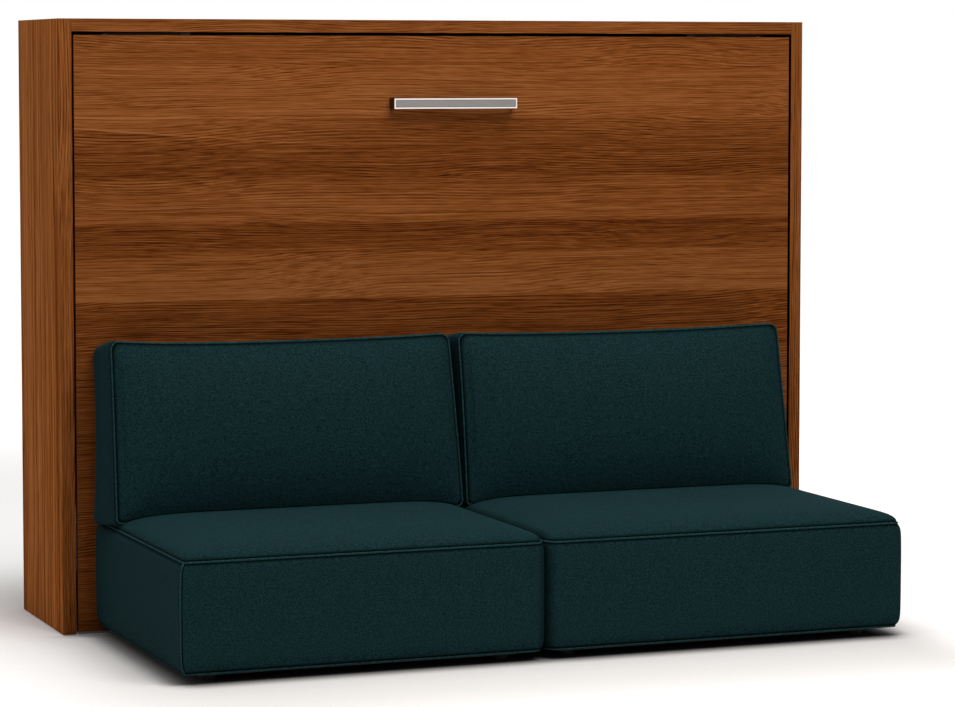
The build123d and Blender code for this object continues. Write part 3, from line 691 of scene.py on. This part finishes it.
def floor_look(name):
    """A pale floor that keeps the shadow near the object and glows white farther out."""
    material, tree, surface = shader(name)
    place = object_place(tree)
    axes = xyz(tree, place)
    distance = shadow_distance(tree, axes)
    glow_level = 0.0
    for start, end in white_reaches:
        step = fade(tree, distance, start, end, 0.0, white_step, "SMOOTHSTEP")
        glow_level = maths(tree, "ADD", step, glow_level)
    seen = node(tree, "LightPath").outputs["Is Camera Ray"]
    glow_level = maths(tree, "MULTIPLY", glow_level, seen)
    glow = node(tree, "Emission", {"Color": (1, 1, 1, 1), "Strength": glow_level})

    pale = ramp(tree, noise_value(tree, place, 40.0, 2.0), [(0.0, floor_dark), (1.0, floor_light)])
    # Painted contact shade, from the ambient occlusion of what stands close over the floor
    shelter = node(tree, "AmbientOcclusion", {"Distance": contact_reach}, samples=contact_samples)
    painted_contact_shade = ramp(tree, shelter.outputs["AO"], contact_painted_shade_stops, "EASE")
    in_front = maths(tree, "LESS_THAN", axes["Y"], contact_front)
    feed(tree, surface, {
        "Base Color": blend(tree, "MULTIPLY", in_front, pale, painted_contact_shade),
        "Roughness": 0.95,
        "Specular IOR Level": 0.0,
    })
    summed = node(tree, "AddShader", {0: surface.outputs[0], 1: glow.outputs[0]})
    feed(tree, tree.nodes["Material Output"], {"Surface": summed.outputs[0]})
    return material


place_camera()
make_world()
for lamp_name, lamp in lamps.items():
    softbox(lamp_name, *lamp)

floor_mesh = bpy.data.meshes.new("floor")
floor_corners = [(-floor_half, -floor_half, 0), (floor_half, -floor_half, 0),
                 (floor_half, floor_half, 0), (-floor_half, floor_half, 0)]
floor_mesh.from_pydata(floor_corners, [], [(0, 1, 2, 3)])
floor = bpy.data.objects.new("floor", floor_mesh)
bpy.context.scene.collection.objects.link(floor)
floor_mesh.materials.append(floor_look("studio_floor"))

view = bpy.context.scene.view_settings
view.view_transform = "Standard"

# Materials of the CAD nodes

wood_front = wood("wood_front", "X", strips=True)
wood_across = wood("wood_across", "X")
wood_upright = wood("wood_upright", "Z", lift=0.04)
# A lighter colour for the boards' bevelled edges, a painted highlight
edge_painted_highlight = pale_wood("edge_painted_highlight", "X", srgb(158, 122, 96), srgb(128, 92, 66))
birch = pale_wood("birch_upright", "Z", srgb(222, 193, 150), srgb(202, 168, 122))
# Near black for the seat frames, as painted shade under the seats
frame_painted_shade = pale_wood("painted_shade_frame", "X", srgb(34, 27, 22), srgb(22, 17, 14))
petrol = srgb(20, 42, 44)
cover = fabric("upholstery", petrol, weave_pitch)
# The cords' cloth is the cover's colour made lighter: a painted highlight, as on cords lit from above
cording_painted_highlight = fabric("piping", tinted(petrol, 1.7), weave_pitch)
ticking = fabric("ticking", srgb(226, 224, 218), ticking_pitch, 0.05, 0.5, 0.1)
ticking_tape = fabric("ticking_tape", srgb(150, 158, 166), ticking_pitch, 0.08, 0.5, 0.1)
webbing = fabric("webbing", srgb(52, 54, 58), webbing_pitch, 0.2, 0.5, 0.1)

SLOT_MATERIALS = {
    "birch": birch,
    "sheet": pale_wood("back_sheet", "X", srgb(226, 222, 214), srgb(214, 209, 200)),
    # The handle's rim is a painted highlight; its border and ends are painted shade with a painted
    # reflection of the wood
    "handle": handle_metal("brushed_handle", srgb(150, 146, 143), srgb(250, 240, 234),
                           srgb(84, 48, 36), *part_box("handle_grip")),
    "steel": metal("zinc_steel", srgb(190, 192, 195), 0.38),
    "black_steel": metal("black_steel", srgb(26, 24, 24), 0.7, metallic=0.0),
    "chrome_rod": metal("chrome_rod", srgb(222, 224, 227), 0.16),
    "nylon": plastic("nylon", srgb(24, 24, 25)),
    "magnet": plastic("magnet", srgb(70, 70, 74), 0.35),
    "upholstery": cover, "piping": cording_painted_highlight, "ticking": ticking, "webbing": webbing,
}
WOOD_MATERIALS = {
    "front_panel": wood_front, "top_panel": wood_across,
    "side_panel_left": wood_upright, "side_panel_right": wood_upright,
    "end_board_left": wood_upright, "end_board_right": wood_upright,
}
slots = {entry["node"]: entry["material_slot"] for entry in frame["record"]["subparts"]}
board_edge = 1.1 * MM

for name, piece in frame["nodes"].items():
    material = SLOT_MATERIALS.get(slots[name]) or WOOD_MATERIALS.get(name, wood_across)
    # The seat frames are painted near black: painted shade under the seats
    if name.startswith("seat_frame"):
        material = frame_painted_shade
    piece.data.materials.clear()
    piece.data.materials.append(material)
    if slots[name] in ("wood", "birch"):
        edge = piece.modifiers.new("edge", "BEVEL")
        edge.width = board_edge
        edge.segments = 2
        edge.limit_method = "ANGLE"
        edge.harden_normals = False
    if slots[name] == "wood":
        # The boards' bevelled edges get a lighter colour, a painted highlight along them
        piece.data.materials.append(edge_painted_highlight)
        edge.material = 1

# Soft forms

# Where the points of half a corner's arc lie, as shares of it
half_arc_shares = (0, 0.1, 0.24, 0.45, 0.7, 1)
# The loops of a pad: how high the crown has risen there, as shares of it, and how far they lie
# from the nearer seam on the wall, in lengths close to it and in shares of the wall elsewhere
crown_rise_shares = (0.5, 0.4, 0.3, 0.2, 0.13, 0.06)
seam_distances = (2.2 * MM, 4.2 * MM, 6.4 * MM, 10 * MM, 18 * MM, 32 * MM)
wall_shares = (0.28, 0.4, 0.5, 0.6, 0.72)
seam_groove = 2.4 * MM
# The walls turn in towards a seam over this distance, and a crease beside the cord gets painted shade
wall_turn = 9 * MM
crease_width = 7 * MM
crease_full = 1.4
crease_fade = 0.8
# Beside an upright cord the wall gets painted shade at these steps of a loop
upright_beside = (-1, 0, 1, 2, 3)
search_steps = 24


def crown_rise(reach, fullness):
    """How far a crown has risen, as a share, at a share of its reach in from the seam."""
    reach = min(max(reach, 0), 1)
    return (1 - (1 - reach) ** 2) ** fullness


def crown_reach(rise, fullness):
    """The share of its reach at which a crown has risen to a share of its height."""
    return 1 - sqrt(1 - rise ** (1 / fullness))


def near_seam(z, thickness):
    """How much a wall is drawn in by its nearer seam, from 0 to 1."""
    return exp(-min(z, thickness - z) / wall_turn)


def crease(distance):
    """How much painted shade the crease beside a cord gets, at a distance from the seam."""
    return min(max((crease_full - distance / crease_width) / crease_fade, 0), 1)


class Pad:
    """A boxed pad before it is put in place. X is its width, Y its depth, Z its thickness.

    Its rear seam is at Z = 0 and its front seam at Z = thickness.
    """

    def __init__(self, width, depth, thickness, corners, growth, seams, bulge, crowns, reaches,
                 fullness, steps):
        self.width, self.depth, self.thickness = width, depth, thickness
        self.corners, self.growth = corners, growth
        self.rear_inset, self.front_inset = seams
        self.bulge = bulge
        self.rear_crown, self.front_crown = crowns
        self.rear_reach, self.front_reach = reaches
        self.fullness = fullness
        self.steps = steps

    def ring(self, inset, growth_from):
        """One closed loop round the pad, drawn in from its outline."""
        low, high_x, high_y = inset, self.width - inset, self.depth - inset
        outline = ((low, low), (high_x, low), (high_x, high_y), (low, high_y))
        spots = [Vector(spot) for spot in outline]
        grown = max(inset - growth_from, 0) * self.growth
        points = []
        for side in range(4):
            start, end = spots[side], spots[(side + 1) % 4]
            along = (end - start).normalized()
            inward = Vector((-along.y, along.x))
            first, last = self.corners[side] + grown, self.corners[(side + 1) % 4] + grown
            for share in half_arc_shares[:-1]:
                angle = (1 - share) * pi / 4
                points.append(start + along * first * (1 - sin(angle))
                              + inward * first * (1 - cos(angle)))
            run_start, run_end = start + along * first, end - along * last
            count = self.steps[side % 2]
            for step in range(count + 1):
                points.append(run_start.lerp(run_end, (1 - cos(pi * step / count)) / 2))
            for share in reversed(half_arc_shares[1:-1]):
                angle = (1 - share) * pi / 4
                points.append(end - along * last * (1 - sin(angle)) + inward * last * (1 - cos(angle)))
        return points

    def side_counts(self):
        """How many steps a ring takes along X and along Y."""
        arcs = 2 * (len(half_arc_shares) - 1)
        return self.steps[0] + arcs, self.steps[1] + arcs

    def depth_inside(self, x, y, seam_inset):
        """How far a point lies inside a seam, along loops whose corners get rounder inwards."""
        gap_x = min(x, self.width - x) - seam_inset
        gap_y = min(y, self.depth - y) - seam_inset
        column, row = x > self.width / 2, y > self.depth / 2
        corner = self.corners[(3 - column if row else int(column))]
        low, high = 0.0, max(min(gap_x, gap_y), 0.0)
        for _ in range(search_steps):
            middle = (low + high) / 2
            radius = corner + self.growth * middle
            past_x, past_y = max(radius - (gap_x - middle), 0), max(radius - (gap_y - middle), 0)
            low, high = (middle, high) if hypot(past_x, past_y) <= radius else (low, middle)
        return low

    def levels(self):
        """The loops from the rear face to the front face: (inset, z, seam inset, painted crease shade)."""
        rows = []
        for rise in crown_rise_shares:
            inset = crown_reach(rise, self.fullness) * self.rear_reach
            dark = crease(hypot(inset, rise * self.rear_crown))
            rows.append((self.rear_inset + inset, -rise * self.rear_crown, self.rear_inset, dark))
        rows.append((self.rear_inset + seam_groove, 0, self.rear_inset, 1))
        heights = list(seam_distances) + [self.thickness * share for share in wall_shares]
        heights += [self.thickness - distance for distance in reversed(seam_distances)]
        for z in heights:
            draw = self.rear_inset if z < self.thickness / 2 else self.front_inset
            drawn = near_seam(z, self.thickness)
            dark = crease(min(z, self.thickness - z))
            rows.append((draw * drawn - self.bulge * (1 - drawn), z, draw, dark))
        rows.append((self.front_inset + seam_groove, self.thickness, self.front_inset, 1))
        for rise in reversed(crown_rise_shares):
            inset = crown_reach(rise, self.fullness) * self.front_reach
            dark = crease(hypot(inset, rise * self.front_crown))
            z = self.thickness + rise * self.front_crown
            rows.append((self.front_inset + inset, z, self.front_inset, dark))
        return rows

    def cap(self, ring, seam_inset, z, crown, reach):
        """A grid of points that fills a ring, domed by its crown."""
        along_x, along_y = self.side_counts()
        foot = ring[:along_x + 1]
        right = ring[along_x:along_x + along_y + 1]
        head = ring[along_x + along_y:2 * along_x + along_y + 1][::-1]
        left = (ring[2 * along_x + along_y:] + ring[:1])[::-1]
        grid = []
        for j in range(along_y + 1):
            row = []
            v = (left[j].y - left[0].y) / (left[-1].y - left[0].y)
            for i in range(along_x + 1):
                u = (foot[i].x - foot[0].x) / (foot[-1].x - foot[0].x)
                corners = (foot[0].lerp(foot[-1], u)) * (1 - v) + (head[0].lerp(head[-1], u)) * v
                point = foot[i] * (1 - v) + head[i] * v + left[j] * (1 - u) + right[j] * u - corners
                inside = self.depth_inside(point.x, point.y, seam_inset)
                rise = crown_rise(inside / reach, self.fullness)
                row.append((point.x, point.y, z + crown * rise))
            grid.append(row)
        return grid

    def build(self, name, place, dent=None, uprights=(), shade=None):
        """Makes the pad's mesh object. place maps (x, y, z) to the part's frame.

        dent moves a cap's points before that. Beside each of the uprights, which are places on
        the loops, the wall gets painted shade, as beside a cord. shade gives the painted shade of the pad
        at an x.
        """
        shape = bmesh.new()
        painted_shade_layer = shape.verts.layers.float.new("seam")
        along_x, along_y = self.side_counts()
        levels = self.levels()

        def add(point):
            return shape.verts.new(place(*point))

        def add_cap(level, crown, reach):
            inset, z, seam_inset, _ = level
            ring = self.ring(inset, seam_inset)
            base = 0 if crown < 0 else self.thickness
            grid = self.cap(ring, seam_inset, base, crown, reach)
            if dent:
                grid = [[dent(*point) for point in row] for row in grid]
            verts = [[add(point) for point in row] for row in grid]
            for j in range(along_y):
                for i in range(along_x):
                    face = [verts[j][i], verts[j][i + 1], verts[j + 1][i + 1], verts[j + 1][i]]
                    shape.faces.new(face if crown > 0 else face[::-1])
            edge = [verts[0][i] for i in range(along_x)]
            edge += [verts[j][-1] for j in range(along_y)]
            edge += [verts[-1][i] for i in range(along_x, 0, -1)]
            edge += [verts[j][0] for j in range(along_y, 0, -1)]
            return edge

        loops = [add_cap(levels[0], -self.rear_crown, self.rear_reach)]
        for inset, z, seam_inset, _ in levels[1:-1]:
            loops.append([add((p.x, p.y, z)) for p in self.ring(inset, seam_inset)])
        loops.append(add_cap(levels[-1], self.front_crown, self.front_reach))
        count = len(loops[0])
        for lower, upper in zip(loops, loops[1:]):
            for k in range(count):
                n = (k + 1) % count
                shape.faces.new((lower[k], lower[n], upper[n], upper[k]))
        # The painted shade goes into the seam attribute: beside the uprights, in the creases, and from
        # shade
        beside = {(corner + step) % count for corner in uprights for step in upright_beside}
        for (inset, z, seam_inset, dark), loop in zip(levels, loops):
            spots = self.ring(inset, seam_inset)
            for k, vert in enumerate(loop):
                vert[painted_shade_layer] = 1 if k in beside and 0 < z < self.thickness else dark
                if shade:
                    vert[painted_shade_layer] = max(vert[painted_shade_layer], shade(spots[k].x))
        shape.normal_update()
        piece = mesh_piece(name, shape)
        for polygon in piece.data.polygons:
            polygon.use_smooth = True
        smooth = piece.modifiers.new("smooth", "SUBSURF")
        smooth.levels = 1
        smooth.render_levels = 1
        return piece

    def seam_lines(self, place, out):
        """The closed lines of the cords in the two seams, which stand out a little."""
        lines = []
        for inset, z in ((self.rear_inset, 0), (self.front_inset, self.thickness)):
            ring = self.ring(inset - out, inset - out)
            lines.append(([place(p.x, p.y, z) for p in ring], True))
        return lines


def mesh_piece(name, shape):
    """An object of a finished bmesh, which is freed."""
    mesh = bpy.data.meshes.new(name)
    shape.to_mesh(mesh)
    shape.free()
    piece = bpy.data.objects.new(name, mesh)
    bpy.context.scene.collection.objects.link(piece)
    return piece


def tube(name, lines, radius, material):
    """Round cords along lines of points, as one curve object. A line is (points, closed)."""
    curve = bpy.data.curves.new(name, "CURVE")
    curve.dimensions = "3D"
    curve.bevel_depth = radius
    curve.bevel_resolution = 3
    curve.use_fill_caps = True
    for points, closed in lines:
        spline = curve.splines.new("POLY")
        spline.points.add(len(points) - 1)
        for spot, point in zip(spline.points, points):
            spot.co = (*point, 1)
        spline.use_cyclic_u = closed
    curve.materials.append(material)
    piece = bpy.data.objects.new(name, curve)
    bpy.context.scene.collection.objects.link(piece)
    return piece


# Seats

seat_pads, seat_origins = {}, {}
for side in SIDES:
    low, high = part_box(f"seat_{side}")
    under = low.z + seat_under_crown
    seam = high.z - seat_seam_drop
    seat_origins[side] = Vector((low.x, low.y, under))
    seat_pads[side] = Pad(
        high.x - low.x, high.y - low.y, seam - under, seat_corners[side], seat_corner_growth,
        (seat_under_inset, seat_seam_inset), seat_bulge, (seat_under_crown, seat_crown),
        (seat_under_reach, seat_crown_reach), seat_fullness, seat_steps,
    )


def seat_top(x, y):
    """The height of the seats' upper surface, or -1 beside them."""
    for side, pad in seat_pads.items():
        origin = seat_origins[side]
        across, along = x - origin.x, y - origin.y
        inset = pad.front_inset
        if inset <= across <= pad.width - inset and inset <= along <= pad.depth - inset:
            inside = pad.depth_inside(across, along, inset)
            rise = crown_rise(inside / pad.front_reach, pad.fullness)
            return origin.z + pad.thickness + pad.front_crown * rise
    return -1


def make_seat(side):
    """A seat's cover, and the cords in its seams."""
    pad, origin = seat_pads[side], seat_origins[side]

    def place(x, y, z):
        inward = min(max(z, 0), max(pad.thickness - z, 0))
        swell = seat_end_swell * (1 - exp(-inward / seat_end_turn[side]))
        if side == "left":
            x -= swell * exp(-max(x, 0) / seat_swell_reach)
        else:
            swell = max(swell, right_seam_out)
            x += swell * exp(-max(pad.width - x, 0) / seat_swell_reach)
        return origin + Vector((x, y, z))

    # Painted shade on each seat where it meets the other
    def shade(x):
        from_joint = x if side == "right" else pad.width - x
        return joint_painted_shade * max(1 - from_joint / joint_reach, 0)

    # The photograph shows an upright seam at the left seat's front left corner
    uprights = (0,) if side == "left" else ()
    seat = pad.build(f"seat_cover_{side}", place, uprights=uprights, shade=shade)
    seat.data.materials.append(cover)
    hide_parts(f"seat_{side}")
    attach(seat, "seats")

    lines = pad.seam_lines(place, cord_out)
    for corner in uprights:
        upright = []
        for inset, z, _, _ in pad.levels():
            if 0 < z < pad.thickness:
                spot = pad.ring(inset - upright_out, seat_seam_inset)[corner]
                upright.append(place(spot.x, spot.y, z))
        lines.append((upright, False))
    cord = tube(f"seat_cord_{side}", lines, seat_cord, cording_painted_highlight)
    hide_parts(f"seat_piping_{side}")
    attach(cord, "seats")


for side in SIDES:
    make_seat(side)

# Back cushions

back_foot_y = front_low.y - back_height * sin(back_lean) - back_rear_crown - panel_gap
back_foot_z = seat_origins["left"].z + seat_pads["left"].thickness + back_lift
back_up = Vector((0, sin(back_lean), cos(back_lean)))
back_out = Vector((0, -cos(back_lean), sin(back_lean)))


def make_back(side):
    """A back cushion's cover, which rests on the seats and leans on the panel, and its cords."""
    middle, top, swells = back_middles[side], back_tops[side], back_swells[side]
    pad = Pad(
        back_foot_width, back_height, back_boxing, back_corners, back_corner_growth,
        (back_rear_inset, back_seam_inset), back_bulge, (back_rear_crown, back_crown),
        (back_crown_reach, back_crown_reach), back_fullness, back_steps,
    )

    def place(x, y, z, lowest=0.0):
        share = min(max(y / back_height, 0), 1)
        front = min(max(z / back_boxing, 0), 1)
        from_low, from_high = max(x, 0), max(back_foot_width - x, 0)

        def foot_swell(end):
            return swells[end] * (1 - share) ** swell_powers[end]

        # The cushion narrows upwards, and both ends swell out
        narrow = 1 + (back_head_width / back_foot_width - 1) * share
        across = middle + (x - back_foot_width / 2) * narrow + back_head_shift * share
        rear = swells["rear"] + foot_swell("rear_foot")
        fore = swells["front"] + foot_swell("front_foot") + swells["head"] * share ** swell_powers["head"]
        across -= (rear + (fore - rear) * front) * exp(-from_low / back_swell_reach)
        high_end = swells["right_end"] + foot_swell("right_foot")
        across += high_end * exp(-from_high / back_swell_reach)

        # The top seam sags between its ends
        bow = sin(pi * min(max(x / back_foot_width, 0), 1))
        lift = top["all"] + top["low_end"] * exp(-from_low / top_end_reach) - top["sag"] * bow
        lift += top["high_end"] * exp(-from_high / top_end_reach)
        height = y + lift * share ** top_power * (rear_lift_share + (1 - rear_lift_share) * front)

        spot = Vector((across, back_foot_y, back_foot_z)) + back_up * height + back_out * z
        spot.z = max(spot.z, seat_top(spot.x, spot.y) + back_seat_gap + lowest)
        spot.y = min(spot.y, front_low.y - panel_gap)
        return spot

    def domed(x, y, z):
        if z < pad.thickness:
            return x, y, z
        across = 1 - (2 * x / pad.width - 1) ** 2
        along = 1 - ((y - pad.depth / 2) / (pad.depth / 2 - back_dome_edge)) ** 2
        return x, y, z + back_dome * max(across, 0) ** back_dome_power * max(along, 0)

    cushion = pad.build(f"back_cover_{side}", place, domed)
    cushion.data.materials.append(cover)
    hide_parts(f"back_cushion_{side}")
    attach(cushion, f"cushion_{side}")

    lines = pad.seam_lines(partial(place, lowest=back_cord), cord_out)
    cord = tube(f"back_cord_{side}", lines, back_cord, cording_painted_highlight)
    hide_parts(f"back_piping_{side}")
    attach(cord, f"cushion_{side}")


for side in SIDES:
    make_back(side)

# Mattress and its straps

bed_low, bed_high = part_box("mattress")
mattress_pad = Pad(
    bed_high.x - bed_low.x, bed_high.z - bed_low.z,
    bed_high.y - bed_low.y - mattress_crown - mattress_under_crown,
    (mattress_corner,) * 4, mattress_corner_growth, (mattress_seam_inset, mattress_seam_inset), 0,
    (mattress_under_crown, mattress_crown), (mattress_crown_reach, mattress_crown_reach),
    seat_fullness, mattress_steps,
)


def quilting(x, y, z):
    """Sinks the sleeping side along a diagonal quilting pattern."""
    if z < mattress_pad.thickness:
        return x, y, z
    first, second = (x + y) / quilt_pitch, (x - y) / quilt_pitch
    line = min(abs(first - round(first)), abs(second - round(second)))
    inside = mattress_pad.depth_inside(x, y, mattress_seam_inset) / mattress_crown_reach
    sunk = quilt_depth * (1 - min(line * quilt_sharpness, 1)) ** 2 * min(inside, 1)
    return x, y, z - sunk


def mattress_place(x, y, z):
    """Stands the mattress up in the closed bed, its sleeping side towards the wall."""
    return Vector((bed_low.x + x, bed_low.y + mattress_under_crown + z, bed_low.z + y))


mattress = mattress_pad.build("mattress_cover", mattress_place, quilting)
mattress.data.materials.append(ticking)
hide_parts("mattress")
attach(mattress, "bed")

edging_lines = mattress_pad.seam_lines(mattress_place, -tape_in)
edging = tube("mattress_edging", edging_lines, mattress_tape, ticking_tape)
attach(edging, "bed")

strap_low, strap_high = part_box("mattress_straps")


def strap_path():
    """The outer side of a strap, up round the mattress: (y, z, how far it has turned)."""
    turned = [pi / 2 * step / strap_bend_steps for step in range(strap_bend_steps + 1)]
    inner_y = strap_high.y - strap_bend
    path = [(strap_low.y, strap_low.z, 0)]
    for angle in turned:
        path.append((inner_y + strap_bend * sin(angle), strap_low.z + strap_bend * (1 - cos(angle)), angle))
    for step in range(1, strap_run_steps):
        run = (strap_high.z - strap_low.z) * step / strap_run_steps
        path.append((strap_high.y, strap_low.z + run, pi / 2))
    for angle in turned:
        z = strap_high.z - strap_bend * (1 - sin(angle))
        path.append((inner_y + strap_bend * cos(angle), z, pi / 2 + angle))
    path.append((strap_low.y, strap_high.z, pi))
    return path


def strap_mesh(name):
    """Two elastic bands, each up one side of the mattress, over it and down the other side."""
    shape = bmesh.new()
    for middle in (strap_low.x + strap_half, strap_high.x - strap_half):
        rows = []
        for y, z, angle in strap_path():
            normal = Vector((0, sin(angle), -cos(angle)))
            outer_row, inner_row = [], []
            for column in strap_column_shares:
                thin = strap_thick * (strap_edge_share if abs(column) == 1 else 1)
                spot = Vector((middle + column * strap_half, y, z))
                outer_row.append(shape.verts.new(spot - normal * (strap_thick - thin) / 2))
                inner_row.append(shape.verts.new(spot - normal * (strap_thick + thin) / 2))
            rows.append(outer_row + inner_row[::-1])
        for first, second in zip(rows, rows[1:]):
            for k in range(len(first)):
                n = (k + 1) % len(first)
                shape.faces.new((first[k], first[n], second[n], second[k]))
        shape.faces.new(rows[0][::-1])
        shape.faces.new(rows[-1])
    bmesh.ops.recalc_face_normals(shape, faces=shape.faces)
    return mesh_piece(name, shape)


straps = strap_mesh("mattress_bands")
straps.data.materials.append(webbing)
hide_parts("mattress_straps")
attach(straps, "bed")
